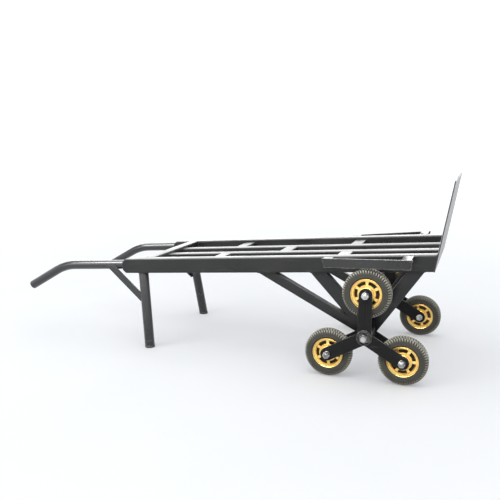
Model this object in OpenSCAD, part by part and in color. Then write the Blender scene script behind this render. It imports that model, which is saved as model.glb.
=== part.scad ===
// Stair climbing trolley: a welded steel bed that stands on two legs and two three-wheel clusters.
// Lengths are in millimetres and angles in degrees. +X runs towards the toe plate, +Z is up and
// the floor is z = 0. The origin is on the floor, under the middle of the trolley's box.
// Bed places are measured from the point of the rail underside that is straight above the axle.

/* [Bed] */
// Slope of the bed, with the handle end low
bed_tilt = 4.5; // [3.5:0.1:5]
// Height of the rail underside above the floor, straight above the axle
bed_height = 324; // [322:1:335]
// Reach of the side rails from the axle towards the handles
rail_back = 868; // [850:1:880]
// Reach of the rail underside from the axle towards the toe plate
rail_front = 183; // [180:1:200]
// Width of a side rail
rail_w = 40; // [38:1:44]
// Height of a side rail
rail_h = 50; // [46:1:56]
// Bed width over both side rails
bed_w = 426; // [420:2:440]
// Corner cut at the handle end of a side rail
rail_corner = 12; // [4:1:16]
// Width of a bed slat
slat_w = 40; // [30:1:44]
// Height of a bed slat
slat_h = 20; // [15:1:25]
// Distance of each slat's middle from the middle of the bed
slat_y = 57; // [45:1:70]
// Drop of the slats below the rail tops
slat_drop = 8; // [2:1:12]
// Place of the outer spacer bars nearer the handles, measured back from the axle
spacer_far = 527; // [500:1:560]
// Place of the outer spacer bars nearer the toe plate, measured back from the axle
spacer_near = 97; // [80:1:120]
// Place of the middle spacer bar, measured back from the axle
spacer_middle = 320; // [280:1:340]
// Place of the handle end crossbar's middle, measured back from the axle
crossbar_back = 777; // [770:1:785]

/* [Handles] */
// Outside diameter of a handle tube
handle_d = 32; // [28:1:34]
// Height of the handle tube's middle above the rail underside
handle_rise = 28; // [24:1:30]
// Angle of the bent tip below the bed
handle_bend = 25; // [15:1:32]
// Place of the bend's corner, measured back from the axle
bend_back = 1128; // [1080:1:1180]
// Radius of the bend
bend_r = 110; // [70:5:160]
// Length of the bent tip from the bend's corner
tip_len = 178; // [150:1:200]
// How much deeper the left handle tube sits in its rail than the right one
left_deeper = 85; // [0:5:120]

/* [Legs] */
// Outside diameter of a leg tube
leg_d = 34; // [30:1:38]
// Place of a leg's top, measured back from the axle
leg_back = 797; // [780:1:820]
// How far a foot stands out beyond the leg's top
foot_out = 29; // [0:1:40]
// How far a foot stands forward of the leg's top
foot_fore = 32; // [0:1:50]
// Height of the foot plug that shows under the tube
foot_h = 8; // [5:1:15]

/* [Toe plate] */
// Length of the toe plate up its slope
toe_len = 268; // [220:2:300]
// Thickness of the toe plate
toe_t = 4; // [3:0.5:8]
// Lean of the toe plate away from square to the bed
toe_lean = 14; // [5:1:20]

/* [Axle frame] */
// Distance along the rail from the axle to the middle of each strut's top
strut_spread = 148; // [130:1:160]
// Width of a strut, seen from the side
strut_w = 40; // [34:1:44]
// Depth of the struts and the long brace across the trolley
strut_depth = 25; // [20:1:28]
// Width of the long brace, seen from the side
brace_w = 31; // [25:1:35]
// Slope of the long brace from the rail
brace_angle = 31.3; // [29:0.1:33]
// Place of the long brace's top, measured back from the axle
brace_back = 334; // [320:1:350]
// Diameter of the main axle
axle_d = 25; // [20:1:26]
// Outside diameter of the axle bosses and the cluster hubs
hub_d = 44; // [42:1:48]

/* [Wheel guards] */
// Height of a guard plate
guard_h = 28; // [20:1:30]
// Thickness of the guard's plate and brackets
guard_t = 5; // [3:0.5:6]
// Place of the guard plate's rear end, measured forward from the axle
guard_rear_x = -140; // [-150:1:-120]
// Place of the guard plate's front end, measured forward from the axle
guard_front_x = 135; // [120:1:145]
// Stand-off of the plate's outer face from the rail at its rear end
guard_rear_out = 28; // [20:1:45]
// Stand-off of the plate's outer face from the rail at its front end
guard_front_out = 78; // [60:1:115]

/* [Clusters] */
// Distance from the main axle to each wheel's axle
cluster_r = 130; // [126:1:136]
// Distance from the middle of the trolley to the wheels' mid-plane
cluster_y = 248; // [248:1:256]
// Width of a star plate's arm
arm_w = 40; // [34:1:42]
// Thickness of a star plate
star_t = 5; // [4:0.5:6]
// Gap between the two star plates
star_gap = 48; // [46:1:52]
// Diameter of a wheel bolt
bolt_d = 12; // [10:1:14]
// Width across the flats of a wheel bolt's head and nut
bolt_flats = 19; // [17:1:22]

/* [Wheels] */
// Diameter of a tyre
wheel_d = 147; // [142:1:150]
// Width of a tyre
tyre_w = 40; // [36:1:42]
// Outside diameter of a rim
rim_d = 94; // [88:1:98]
// Number of openings in a rim
rim_slots = 6; // [3:1:8]

/* [Hidden] */
$fn = 64;

// Sides of the trolley, and places of the three wheels round the main axle
RIGHT = -1;
LEFT = 1;
TOP = 90;
REAR = 210;
FRONT = 330;

black = [0.14, 0.14, 0.14];
rubber = [0.30, 0.30, 0.27];
gold = [0.82, 0.62, 0.20];
silver = [0.78, 0.78, 0.78];

// Longer than anything that has to be cut
far = 2500;
// How far a cutter runs past the face it opens
past = 1;
seam_turn = 37;

rail_wall = 3;
slat_wall = 2;
tube_wall = 2.5;
crossbar_w = 40;
crossbar_h = 30;
spacer_w = 40;
wheel_r = wheel_d / 2;
axle_z = wheel_r + cluster_r / 2;
rail_y = bed_w / 2 - rail_w / 2;
slat_top = rail_h - slat_drop;
crossbar_x = -crossbar_back + crossbar_w / 2;
handle_r = handle_d / 2;
handle_in = 90;
leg_r = leg_d / 2;

// Bed places seen from the floor, and the axle seen from the bed
function floor_x(x, z) = x * cos(bed_tilt) - z * sin(bed_tilt);
function floor_z(x, z) = bed_height + x * sin(bed_tilt) + z * cos(bed_tilt);
axle_drop = bed_height - axle_z;
axle_bed_x = -axle_drop * sin(bed_tilt);
axle_bed_z = -axle_drop * cos(bed_tilt);

// Bed place of the toe plate's inner face at height z
function toe_x(z) = rail_front + z * tan(toe_lean);

// The trolley's ends, which set the middle of its box
tip_x = -bend_back - tip_len * cos(handle_bend) - handle_r * sin(handle_bend);
tip_z = handle_rise - tip_len * sin(handle_bend) + handle_r * cos(handle_bend);
toe_top_x = rail_front + toe_len * sin(toe_lean) + toe_t * cos(toe_lean);
toe_top_z = toe_len * cos(toe_lean) - toe_t * sin(toe_lean);
middle_x = (floor_x(tip_x, tip_z) + floor_x(toe_top_x, toe_top_z)) / 2;

// Legs
leg_top = [floor_x(-leg_back, 0), rail_y, floor_z(-leg_back, 0)];
leg_foot = [leg_top[0] + foot_fore, rail_y + foot_out, 0];
leg_brace_w = 25;
leg_brace_t = 3;
leg_brace_slope = 45.5;
leg_brace_x = -leg_back - 125;
leg_brace_len = 160;
leg_brace_y = rail_y + 5;

// Axle, its washers and its nuts
boss_in = 176;
boss_out = 208;
hub_in = 212;
hub_out = 285;
axle_shoulder = 276;
stud_d = 16;
stud_out = 294;
thrust_gap = 0.3;
hub_bore_r = 17.5;
bush_len = 20;
bush_inset = 4;
bush_outer_end = 274;
axle_run = 0.05;
washer_t = 2.5;
axle_washer_r = 15;
axle_nut_flats = 24;
axle_nut_h = 12;

// Wheel fasteners, measured out from a wheel's mid-plane
star_in = star_gap / 2;
star_out = star_in + star_t;
bolt_washer_t = 2.5;
bolt_washer_r = 10.5;
bolt_head_h = 8;
bolt_nut_h = 10;
bolt_tip = 3;
bearing_r = 16;
bearing_w = 10;
bearing_run = 0.05;
spacer_r = 10;

// Wheel
rim_r = rim_d / 2;
rim_w = 34;
rim_well_r = rim_r - 6;
rim_hub_r = 21;
web_t = 9;
slot_in_r = 28;
slot_out_r = 37;
slot_span = 45;

// Puts children on the left as drawn, or mirrors them to the right
module on_side(side) {
    mirror([0, side == RIGHT ? 1 : 0, 0]) children();
}

module on_both_sides() {
    on_side(LEFT) children();
    on_side(RIGHT) children();
}

// Children drawn from the floor point under the axle
module from_axle_foot() {
    translate([-middle_x, 0, 0]) children();
}

// Children drawn in the bed's own places
module on_bed() {
    from_axle_foot() translate([0, 0, bed_height]) rotate([0, -bed_tilt, 0]) children();
}

// A side outline given in X and Z, made width thick across the trolley
module slab(width) {
    rotate([90, 0, 0]) linear_extrude(height = width, center = true) children();
}

// A round bar across the trolley
module cross_bar(y0, y1, r) {
    translate([0, y0, 0]) rotate([-90, 0, 0]) cylinder(h = y1 - y0, r = r);
}

module cross_hexagon(y0, y1, flats) {
    translate([0, y0, 0]) rotate([-90, 0, 0]) cylinder(h = y1 - y0, r = flats / 2 / cos(30), $fn = 6);
}

// A ring across the trolley
module cross_ring(y0, y1, outer_r, inner_r) {
    difference() {
        cross_bar(y0, y1, outer_r);
        cross_bar(y0 - past, y1 + past, inner_r);
    }
}

// A round bar from p to q that runs on past both ends; its seam is turned off the tips of cut ends
module bar_between(p, q, r, over) {
    d = q - p;
    translate(p)
        rotate([0, acos(d[2] / norm(d)), atan2(d[1], d[0])])
        translate([0, 0, -over])
        rotate([0, 0, seam_turn])
        cylinder(h = norm(d) + 2 * over, r = r);
}

module above_height(z) {
    translate([-far, -far, z]) cube([2 * far, 2 * far, far]);
}

module below_height(z) {
    translate([-far, -far, z - far]) cube([2 * far, 2 * far, far]);
}

// Bed

// Side outline of a rail, or of its hollow when inset is the wall
module rail_outline(inset) {
    back = -rail_back + inset;
    corner = rail_corner - inset * (2 - sqrt(2));
    open = inset > 0 ? past : 0;
    polygon([
        [back + corner, inset],
        [toe_x(inset) + open, inset],
        [toe_x(rail_h - inset) + open, rail_h - inset],
        [back + corner, rail_h - inset],
        [back, rail_h - inset - corner],
        [back, inset + corner]
    ]);
}

module side_rail(side) {
    color(black) on_bed() on_side(side) translate([0, rail_y, 0]) difference() {
        slab(rail_w) rail_outline(0);
        slab(rail_w - 2 * rail_wall) rail_outline(rail_wall);
        translate([-rail_back - past, 0, handle_rise]) rotate([0, 90, 0])
            cylinder(h = rail_corner + 2 * rail_wall, r = handle_r);
    }
}

// Side outline of a slat, from the crossbar to the toe plate
module slat_outline(inset) {
    open = inset > 0 ? past : 0;
    low = slat_top - slat_h + inset;
    high = slat_top - inset;
    polygon([
        [crossbar_x - open, low],
        [toe_x(low) + open, low],
        [toe_x(high) + open, high],
        [crossbar_x - open, high]
    ]);
}

module bed_slat(side) {
    color(black) on_bed() on_side(side) translate([0, slat_y, 0]) difference() {
        slab(slat_w) slat_outline(0);
        slab(slat_w - 2 * slat_wall) slat_outline(slat_wall);
    }
}

// A rectangular tube across the bed, with its middle at x and its top at z
module bed_tube(x, y0, y1, z, width, height) {
    translate([x - width / 2, y0, z - height]) difference() {
        cube([width, y1 - y0, height]);
        translate([slat_wall, -past, slat_wall])
            cube([width - 2 * slat_wall, y1 - y0 + 2 * past, height - 2 * slat_wall]);
    }
}

module handle_end_crossbar() {
    reach = rail_y - rail_w / 2;
    color(black) on_bed() bed_tube(-crossbar_back, -reach, reach, rail_h, crossbar_w, crossbar_h);
}

module spacer_bars_outer() {
    color(black) on_bed() on_both_sides() for (back = [spacer_far, spacer_near])
        bed_tube(-back, slat_y + slat_w / 2, rail_y - rail_w / 2, slat_top, spacer_w, slat_h);
}

module spacer_bar_middle() {
    reach = slat_y - slat_w / 2;
    color(black) on_bed() bed_tube(-spacer_middle, -reach, reach, slat_top, spacer_w, slat_h);
}

// Handles

// Cross-section of a handle, turned so that its seam lies on its side
module handle_section(hollow) {
    rotate(90) difference() {
        circle(r = handle_r);
        if (hollow) circle(r = handle_r - tube_wall);
    }
}

// Children moved to where the handle tube of one side sits in its rail
module pushed_in(side) {
    translate([side == LEFT ? left_deeper : 0, 0, 0]) children();
}

// The handle of one side along its middle line, as a tube or as a solid bar
module handle_bar(side, hollow) {
    corner = bend_r * tan(handle_bend / 2);
    bend_x = -bend_back + corner;
    inner_x = -rail_back + handle_in;
    translate([bend_x, side * rail_y, handle_rise]) {
        rotate([0, 90, 0]) linear_extrude(height = inner_x - bend_x) handle_section(hollow);
        translate([0, 0, -bend_r]) {
            rotate([90, 0, 0]) rotate([0, 0, 90]) rotate_extrude(angle = handle_bend)
                translate([bend_r, 0]) handle_section(hollow);
            rotate([0, -handle_bend, 0]) translate([corner - tip_len, 0, bend_r]) rotate([0, 90, 0])
                linear_extrude(height = tip_len - corner) handle_section(hollow);
        }
    }
}

// Children drawn from the middle of one handle's open end, with +Z running into the tube
module at_handle_tip(side) {
    pushed_in(side) translate([-bend_back, side * rail_y, handle_rise])
        rotate([0, -handle_bend, 0])
        translate([-tip_len, 0, 0])
        rotate([0, 90, 0])
        children();
}

module handle_tube(side) {
    color(black) on_bed() pushed_in(side) handle_bar(side, true);
}

// A plug sits inside each handle's open end
module handle_end_plugs() {
    plug_inset = 1.5;
    plug_h = 14;
    color(rubber) on_bed() for (side = [RIGHT, LEFT]) at_handle_tip(side) translate([0, 0, plug_inset])
        cylinder(h = plug_h, r = handle_r - tube_wall);
}

// Legs

module leg_bar(r, over) {
    from_axle_foot() bar_between(leg_foot, leg_top, r, over);
}

module above_rail_underside() {
    on_bed() above_height(0);
}

module leg_tube(side) {
    over = 20;
    color(black) on_side(side) difference() {
        leg_bar(leg_r, over);
        leg_bar(leg_r - tube_wall, over + past);
        below_height(foot_h);
        above_rail_underside();
    }
}

module leg_feet() {
    tread_over = 10;
    stem_h = 20;
    color(rubber) on_both_sides() {
        difference() {
            leg_bar(leg_r, tread_over);
            below_height(0);
            above_height(foot_h);
        }
        difference() {
            leg_bar(leg_r - tube_wall, tread_over);
            below_height(foot_h);
            above_height(foot_h + stem_h);
        }
    }
}

// Angle bar from the handle's underside down to the leg
module leg_brace_bar() {
    over = 20;
    translate([leg_brace_x, leg_brace_y, handle_rise - handle_r]) rotate([0, leg_brace_slope, 0]) {
        translate([-over, -leg_brace_w / 2, 0])
            cube([leg_brace_len + over, leg_brace_w, leg_brace_t]);
        translate([-over, leg_brace_w / 2 - leg_brace_t, 0])
            cube([leg_brace_len + over, leg_brace_t, leg_brace_w]);
    }
}

module leg_brace(side) {
    leg_middle_x = -leg_back + foot_fore / 4;
    color(black) on_side(side) difference() {
        on_bed() difference() {
            leg_brace_bar();
            handle_bar(LEFT, false);
            above_height(handle_rise);
            translate([leg_middle_x, -far, -far]) cube([far, 2 * far, 2 * far]);
        }
        leg_bar(leg_r, 0);
    }
}

// Toe plate

module toe_plate() {
    color(black) on_bed() translate([rail_front, 0, 0]) rotate([0, toe_lean, 0])
        translate([0, -bed_w / 2, 0]) cube([toe_t, bed_w, toe_len]);
}

// Axle frame

// Children drawn from the main axle, in the bed's directions
module at_axle_on_bed() {
    on_bed() translate([axle_bed_x, 0, axle_bed_z]) children();
}

// A straight bar from the axle up to the rail; end is 1 for the front strut and -1 for the rear
module strut_bar(end, width, depth) {
    lean = atan(strut_spread / -axle_bed_z);
    at_axle_on_bed() rotate([0, end * lean, 0])
        translate([-width / 2, rail_y - depth / 2, 0])
        cube([width, depth, bed_height]);
}

module strut(side, end) {
    color(black) on_side(side) difference() {
        strut_bar(end, strut_w, strut_depth);
        strut_bar(end, strut_w - 2 * tube_wall, strut_depth - 2 * tube_wall);
        above_rail_underside();
        at_axle_on_bed() {
            translate([end > 0 ? -far : 0, -far, -far]) cube([far, 2 * far, 2 * far]);
            cross_bar(0, far, hub_d / 2);
        }
    }
}

module long_brace_bar(width, depth) {
    on_bed() translate([-brace_back, rail_y, 0]) rotate([0, brace_angle, 0])
        translate([-brace_back, -depth / 2, -width / 2])
        cube([2 * brace_back, depth, width]);
}

module long_brace(side) {
    lean = atan(strut_spread / -axle_bed_z);
    color(black) on_side(side) difference() {
        long_brace_bar(brace_w, strut_depth);
        long_brace_bar(brace_w - 2 * tube_wall, strut_depth - 2 * tube_wall);
        above_rail_underside();
        at_axle_on_bed() {
            rotate([0, -lean, 0]) translate([-strut_w / 2, -far, -far]) cube([far, 2 * far, 2 * far]);
            cross_bar(0, far, hub_d / 2);
        }
    }
}

module at_axle() {
    from_axle_foot() translate([0, 0, axle_z]) children();
}

module axle_bosses() {
    color(black) at_axle() on_both_sides() cross_ring(boss_in, boss_out, hub_d / 2, axle_d / 2);
}

module main_axle() {
    color(silver) at_axle() {
        cross_bar(-axle_shoulder, axle_shoulder, axle_d / 2);
        on_both_sides() cross_bar(axle_shoulder, stud_out, stud_d / 2);
    }
}

module axle_nuts() {
    start = axle_shoulder + washer_t;
    color(silver) at_axle() on_both_sides() difference() {
        cross_hexagon(start, start + axle_nut_h, axle_nut_flats);
        cross_bar(start - past, start + axle_nut_h + past, stud_d / 2);
    }
}

// A thrust washer inside each hub, and a plain washer under each nut
module axle_washers() {
    color(silver) at_axle() on_both_sides() {
        cross_ring(boss_out, hub_in - thrust_gap, hub_d / 2, axle_d / 2);
        cross_ring(axle_shoulder, axle_shoulder + washer_t, axle_washer_r, stud_d / 2);
    }
}

// Wheel guards

// Plan of the guard: how far its outer face is from the middle of the bed at place x
function guard_out(x) = bed_w / 2 + guard_rear_out
    + (guard_front_out - guard_rear_out) * (x - guard_rear_x) / (guard_front_x - guard_rear_x);

guard_turn = atan((guard_front_out - guard_rear_out) / (guard_front_x - guard_rear_x));
guard_len = (guard_front_x - guard_rear_x) / cos(guard_turn);
guard_end_cut = 7;
function guard_inner(x) = guard_out(x) - guard_t / cos(guard_turn);

module wheel_guard(side) {
    color(black) on_bed() on_side(side)
        translate([guard_rear_x, guard_out(guard_rear_x), rail_h - guard_h])
        rotate([0, 0, guard_turn])
        translate([0, -guard_t / 2, 0])
        slab(guard_t)
        polygon([[guard_end_cut, 0], [guard_len - guard_end_cut, 0], [guard_len, guard_h], [0, guard_h]]);
}

// A flat bar from the rail to the guard, between places x0 and x1
module guard_bracket(x0, x1) {
    translate([0, 0, rail_h - guard_t]) linear_extrude(height = guard_t) polygon([
        [x0, bed_w / 2],
        [x1, bed_w / 2],
        [x1, guard_inner(x1)],
        [x0, guard_inner(x0)]
    ]);
}

module guard_brackets() {
    bracket_w = 28;
    end_gap = 4;
    color(black) on_bed() on_both_sides() {
        guard_bracket(guard_rear_x + end_gap, guard_rear_x + end_gap + bracket_w);
        guard_bracket(guard_front_x - end_gap - bracket_w, guard_front_x - end_gap);
    }
}

// Clusters

// Children drawn at the left cluster's wheel places, with y = 0 in the wheels' mid-plane
module at_wheel(angle) {
    at_axle() translate([cluster_r * cos(angle), cluster_y, cluster_r * sin(angle)]) children();
}

module at_each_wheel() {
    for (angle = [TOP, REAR, FRONT])
        at_wheel(angle) children();
}

// Face of a plate with three round-ended arms
module star_outline() {
    difference() {
        for (angle = [TOP, REAR, FRONT]) rotate(angle) {
            translate([0, -arm_w / 2]) square([cluster_r, arm_w]);
            translate([cluster_r, 0]) circle(r = arm_w / 2);
        }
        circle(r = hub_d / 2);
        for (angle = [TOP, REAR, FRONT]) rotate(angle) translate([cluster_r, 0]) circle(r = bolt_d / 2);
    }
}

// A star plate; y0 is its inner face, from the wheels' mid-plane
module star_plate(side, y0) {
    color(black) at_axle() on_side(side) translate([0, cluster_y + y0 + star_t, 0]) rotate([90, 0, 0])
        linear_extrude(height = star_t) star_outline();
}

module star_plate_outer(side) {
    star_plate(side, star_in);
}

module star_plate_inner(side) {
    star_plate(side, -star_out);
}

module hub_tube(side) {
    color(black) at_axle() on_side(side) cross_ring(hub_in, hub_out, hub_d / 2, hub_bore_r);
}

module hub_bushes(side) {
    inner_end = hub_in + bush_inset;
    color(silver) at_axle() on_side(side) for (y = [inner_end, bush_outer_end - bush_len])
        cross_ring(y, y + bush_len, hub_bore_r, axle_d / 2 + axle_run);
}

module wheel_bolts(side) {
    under_head = star_out + bolt_washer_t;
    color(silver) on_side(side) at_each_wheel() {
        cross_hexagon(-under_head - bolt_head_h, -under_head, bolt_flats);
        cross_bar(-under_head, under_head + bolt_nut_h + bolt_tip, bolt_d / 2);
    }
}

module wheel_nuts(side) {
    start = star_out + bolt_washer_t;
    color(silver) on_side(side) at_each_wheel() difference() {
        cross_hexagon(start, start + bolt_nut_h, bolt_flats);
        cross_bar(start - past, start + bolt_nut_h + past, bolt_d / 2);
    }
}

module wheel_washers(side) {
    color(silver) on_side(side) at_each_wheel() for (y = [-star_out - bolt_washer_t, star_out])
        cross_ring(y, y + bolt_washer_t, bolt_washer_r, bolt_d / 2);
}

module wheel_bearings(side) {
    half = tyre_w / 2;
    color(silver) on_side(side) at_each_wheel() for (y = [-half, half - bearing_w])
        cross_ring(y, y + bearing_w, bearing_r, bolt_d / 2);
}

module wheel_spacers(side) {
    half = tyre_w / 2;
    color(silver) on_side(side) at_each_wheel() for (y = [-star_in, half])
        cross_ring(y, y + star_in - half, spacer_r, bolt_d / 2);
}

// Wheels

module tyre(side, angle) {
    half = tyre_w / 2;
    bead = rim_w / 2;
    shoulder = 5;
    color(rubber) on_side(side) at_wheel(angle) rotate([90, 0, 0]) rotate_extrude() polygon([
        [rim_r, -bead],
        [rim_r + shoulder, -half],
        [wheel_r - 2 * shoulder, -half],
        [wheel_r - shoulder / 2, -half + shoulder / 2],
        [wheel_r, -half + 2 * shoulder],
        [wheel_r, half - 2 * shoulder],
        [wheel_r - shoulder / 2, half - shoulder / 2],
        [wheel_r - 2 * shoulder, half],
        [rim_r + shoulder, half],
        [rim_r, bead]
    ]);
}

// A part of a ring that opens the rim's web
module rim_slot(angle) {
    rotate([0, 0, angle - slot_span / 2]) rotate_extrude(angle = slot_span)
        translate([slot_in_r, -web_t])
        square([slot_out_r - slot_in_r, 2 * web_t]);
}

module rim(side, angle) {
    half = tyre_w / 2;
    color(gold) on_side(side) at_wheel(angle) rotate([90, 0, 0]) difference() {
        rotate_extrude() polygon([
            [bearing_r + bearing_run, -half],
            [rim_hub_r, -half],
            [rim_hub_r + 2, -web_t / 2],
            [rim_well_r - 1, -web_t / 2],
            [rim_well_r, -rim_w / 2],
            [rim_r, -rim_w / 2],
            [rim_r, rim_w / 2],
            [rim_well_r, rim_w / 2],
            [rim_well_r - 1, web_t / 2],
            [rim_hub_r + 2, web_t / 2],
            [rim_hub_r, half],
            [bearing_r + bearing_run, half]
        ]);
        for (i = [0 : rim_slots - 1])
            rim_slot(TOP + (i + 0.5) * 360 / rim_slots);
    }
}

side_rail(RIGHT);  // side_rail_right
side_rail(LEFT);  // side_rail_left
bed_slat(RIGHT);  // bed_slat_right
bed_slat(LEFT);  // bed_slat_left
handle_end_crossbar();
spacer_bars_outer();
spacer_bar_middle();
handle_tube(RIGHT);  // handle_tube_right
handle_tube(LEFT);  // handle_tube_left
handle_end_plugs();
leg_tube(RIGHT);  // leg_tube_right
leg_tube(LEFT);  // leg_tube_left
leg_feet();
leg_brace(RIGHT);  // leg_brace_right
leg_brace(LEFT);  // leg_brace_left
toe_plate();
strut(RIGHT, 1);  // strut_front_right
strut(RIGHT, -1);  // strut_rear_right
strut(LEFT, 1);  // strut_front_left
strut(LEFT, -1);  // strut_rear_left
long_brace(RIGHT);  // long_brace_right
long_brace(LEFT);  // long_brace_left
axle_bosses();
main_axle();
axle_nuts();
axle_washers();
wheel_guard(RIGHT);  // wheel_guard_right
wheel_guard(LEFT);  // wheel_guard_left
guard_brackets();
star_plate_outer(RIGHT);  // star_plate_outer_right
star_plate_inner(RIGHT);  // star_plate_inner_right
hub_tube(RIGHT);  // hub_tube_right
hub_bushes(RIGHT);  // hub_bushes_right
wheel_bolts(RIGHT);  // wheel_bolts_right
wheel_nuts(RIGHT);  // wheel_nuts_right
wheel_washers(RIGHT);  // wheel_washers_right
wheel_bearings(RIGHT);  // wheel_bearings_right
wheel_spacers(RIGHT);  // wheel_spacers_right
star_plate_outer(LEFT);  // star_plate_outer_left
star_plate_inner(LEFT);  // star_plate_inner_left
hub_tube(LEFT);  // hub_tube_left
hub_bushes(LEFT);  // hub_bushes_left
wheel_bolts(LEFT);  // wheel_bolts_left
wheel_nuts(LEFT);  // wheel_nuts_left
wheel_washers(LEFT);  // wheel_washers_left
wheel_bearings(LEFT);  // wheel_bearings_left
wheel_spacers(LEFT);  // wheel_spacers_left
tyre(RIGHT, TOP);  // tyre_top_right
rim(RIGHT, TOP);  // rim_top_right
tyre(RIGHT, REAR);  // tyre_rear_right
rim(RIGHT, REAR);  // rim_rear_right
tyre(RIGHT, FRONT);  // tyre_front_right
rim(RIGHT, FRONT);  // rim_front_right
tyre(LEFT, TOP);  // tyre_top_left
rim(LEFT, TOP);  // rim_top_left
tyre(LEFT, REAR);  // tyre_rear_left
rim(LEFT, REAR);  // rim_rear_left
tyre(LEFT, FRONT);  // tyre_front_left
rim(LEFT, FRONT);  // rim_front_left
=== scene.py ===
"""Looks of the stair climbing trolley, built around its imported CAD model. Metres, +Z up."""

import math

import bmesh
import bpy
from mathutils import Matrix, Vector, noise


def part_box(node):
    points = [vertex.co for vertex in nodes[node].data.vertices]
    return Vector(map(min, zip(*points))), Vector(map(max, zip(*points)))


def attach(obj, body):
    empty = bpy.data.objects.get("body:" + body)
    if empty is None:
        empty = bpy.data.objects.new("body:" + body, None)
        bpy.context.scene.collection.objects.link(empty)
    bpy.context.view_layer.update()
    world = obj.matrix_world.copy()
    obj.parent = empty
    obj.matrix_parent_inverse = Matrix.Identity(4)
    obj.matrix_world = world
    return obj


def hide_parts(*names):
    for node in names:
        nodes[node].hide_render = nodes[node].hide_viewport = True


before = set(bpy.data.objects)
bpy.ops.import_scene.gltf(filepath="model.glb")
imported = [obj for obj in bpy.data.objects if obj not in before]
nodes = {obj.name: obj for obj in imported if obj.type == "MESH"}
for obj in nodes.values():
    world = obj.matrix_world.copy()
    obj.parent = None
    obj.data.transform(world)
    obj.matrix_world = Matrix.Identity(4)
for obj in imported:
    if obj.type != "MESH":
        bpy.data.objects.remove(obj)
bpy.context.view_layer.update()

MM = 0.001
SIDES = {"right": -1, "left": 1}
WHEELS = ("top", "rear", "front")


# Places, all read from the frame or worked out from the bed's slope


def middle(node):
    low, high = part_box(node)
    return (low + high) / 2


BED_TILT = math.radians(4.5)
BED_HEIGHT = 324 * MM
axle = middle("main_axle")
to_bed = Matrix.Translation((axle.x, 0, BED_HEIGHT)) @ Matrix.Rotation(-BED_TILT, 4, "Y")


def on_bed(x, y, z):
    """A place given in millimetres along, across and up from the rail underside above the axle."""
    return to_bed @ Vector((x * MM, y * MM, z * MM))


# Sizes of the bed's tubes in millimetres, as in the CAD part

RAIL_BACK, RAIL_FRONT, RAIL_WIDTH, RAIL_HEIGHT, RAIL_CORNER, RAIL_Y = 868, 183, 40, 50, 12, 193
SLAT_Y, SLAT_WIDTH, SLAT_HEIGHT, SLAT_TOP = 57, 40, 20, 42
CROSSBAR_BACK, CROSSBAR_WIDTH, CROSSBAR_HEIGHT = 777, 40, 30
OUTER_SPACERS, MIDDLE_SPACER, SPACER_WIDTH = (527, 97), 320, 40
TOE_LEAN = math.radians(14)
STRUT_SPREAD, STRUT_WIDTH, STRUT_DEPTH, HUB_RADIUS = 148, 40, 25, 22
BRACE_BACK, BRACE_ANGLE, BRACE_WIDTH = 334, math.radians(31.3), 31
LEG_BACK, LEG_RADIUS = 797, 17
GUARD_BRACKETS = ((-136, -108), (103, 131))
HANDLE_RADIUS, HANDLE_RISE, HANDLE_BEND, HANDLE_IN = 16, 28, math.radians(25), 90
BEND_BACK, TIP_LENGTH, LEFT_DEEPER = 1128, 178, 85
AXLE_DROP = BED_HEIGHT / MM - axle.z / MM
AXLE_ON_BED = Vector((-AXLE_DROP * math.sin(BED_TILT), 0, -AXLE_DROP * math.cos(BED_TILT)))
STRUT_LEAN = math.atan(STRUT_SPREAD / -AXLE_ON_BED.z)

# Places that follow from them
SLAT_LOW = SLAT_TOP - SLAT_HEIGHT
SLAT_START = -CROSSBAR_BACK + CROSSBAR_WIDTH / 2
SLAT_FACES = (SLAT_Y - SLAT_WIDTH / 2, SLAT_Y + SLAT_WIDTH / 2)
CROSSBAR_LOW = RAIL_HEIGHT - CROSSBAR_HEIGHT
RAIL_INNER = RAIL_Y - RAIL_WIDTH / 2
RAIL_OUTER = RAIL_Y + RAIL_WIDTH / 2


def toe_x(up):
    """Place along the bed of the toe plate's inner face at a height."""
    return RAIL_FRONT + up * math.tan(TOE_LEAN)


# Materials


def add(tree, kind, inputs=None, **settings):
    """A shader node; an input's value is a number, a colour or another node's output."""
    made = tree.nodes.new(kind)
    for name, value in settings.items():
        setattr(made, name, value)
    for name, value in (inputs or {}).items():
        if isinstance(value, bpy.types.NodeSocket):
            tree.links.new(value, made.inputs[name])
        else:
            made.inputs[name].default_value = value
    return made


def new_material(name):
    material = bpy.data.materials.new(name)
    material.use_nodes = True
    tree = material.node_tree
    tree.nodes.clear()
    shader = add(tree, "ShaderNodeBsdfPrincipled")
    add(tree, "ShaderNodeOutputMaterial", {"Surface": shader.outputs[0]})
    return material, tree, shader


def place_of(tree):
    return add(tree, "ShaderNodeTexCoord").outputs["Object"]


def clouds(tree, place, scale, detail=4.0, stretch=(1, 1, 1)):
    """Noise from 0 to 1 in patches of about 1 / scale metres.

    A small number in stretch makes the patches longer along that axis.
    """
    moved = add(tree, "ShaderNodeMapping", {"Vector": place, "Scale": stretch})
    made = add(tree, "ShaderNodeTexNoise", {"Vector": moved.outputs[0], "Scale": scale, "Detail": detail})
    return made.outputs[0]


def span(tree, value, low, high, to_low=0.0, to_high=1.0):
    made = add(tree, "ShaderNodeMapRange", {0: value, 1: low, 2: high, 3: to_low, 4: to_high})
    return made.outputs[0]


def times(tree, a, b):
    return add(tree, "ShaderNodeMath", {0: a, 1: b}, operation="MULTIPLY").outputs[0]


def greater(tree, a, b):
    return add(tree, "ShaderNodeMath", {0: a, 1: b}, operation="MAXIMUM").outputs[0]


def mix(tree, share, a, b):
    """Colour a where share is 0 and colour b where it is 1."""
    made = add(tree, "ShaderNodeMix", data_type="RGBA")
    for index, value in ((0, share), (6, a), (7, b)):
        if isinstance(value, bpy.types.NodeSocket):
            tree.links.new(value, made.inputs[index])
        else:
            made.inputs[index].default_value = value
    return made.outputs[2]


def grey(value, blue=0.0):
    return (value, value, value * (1 + blue), 1)


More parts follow.
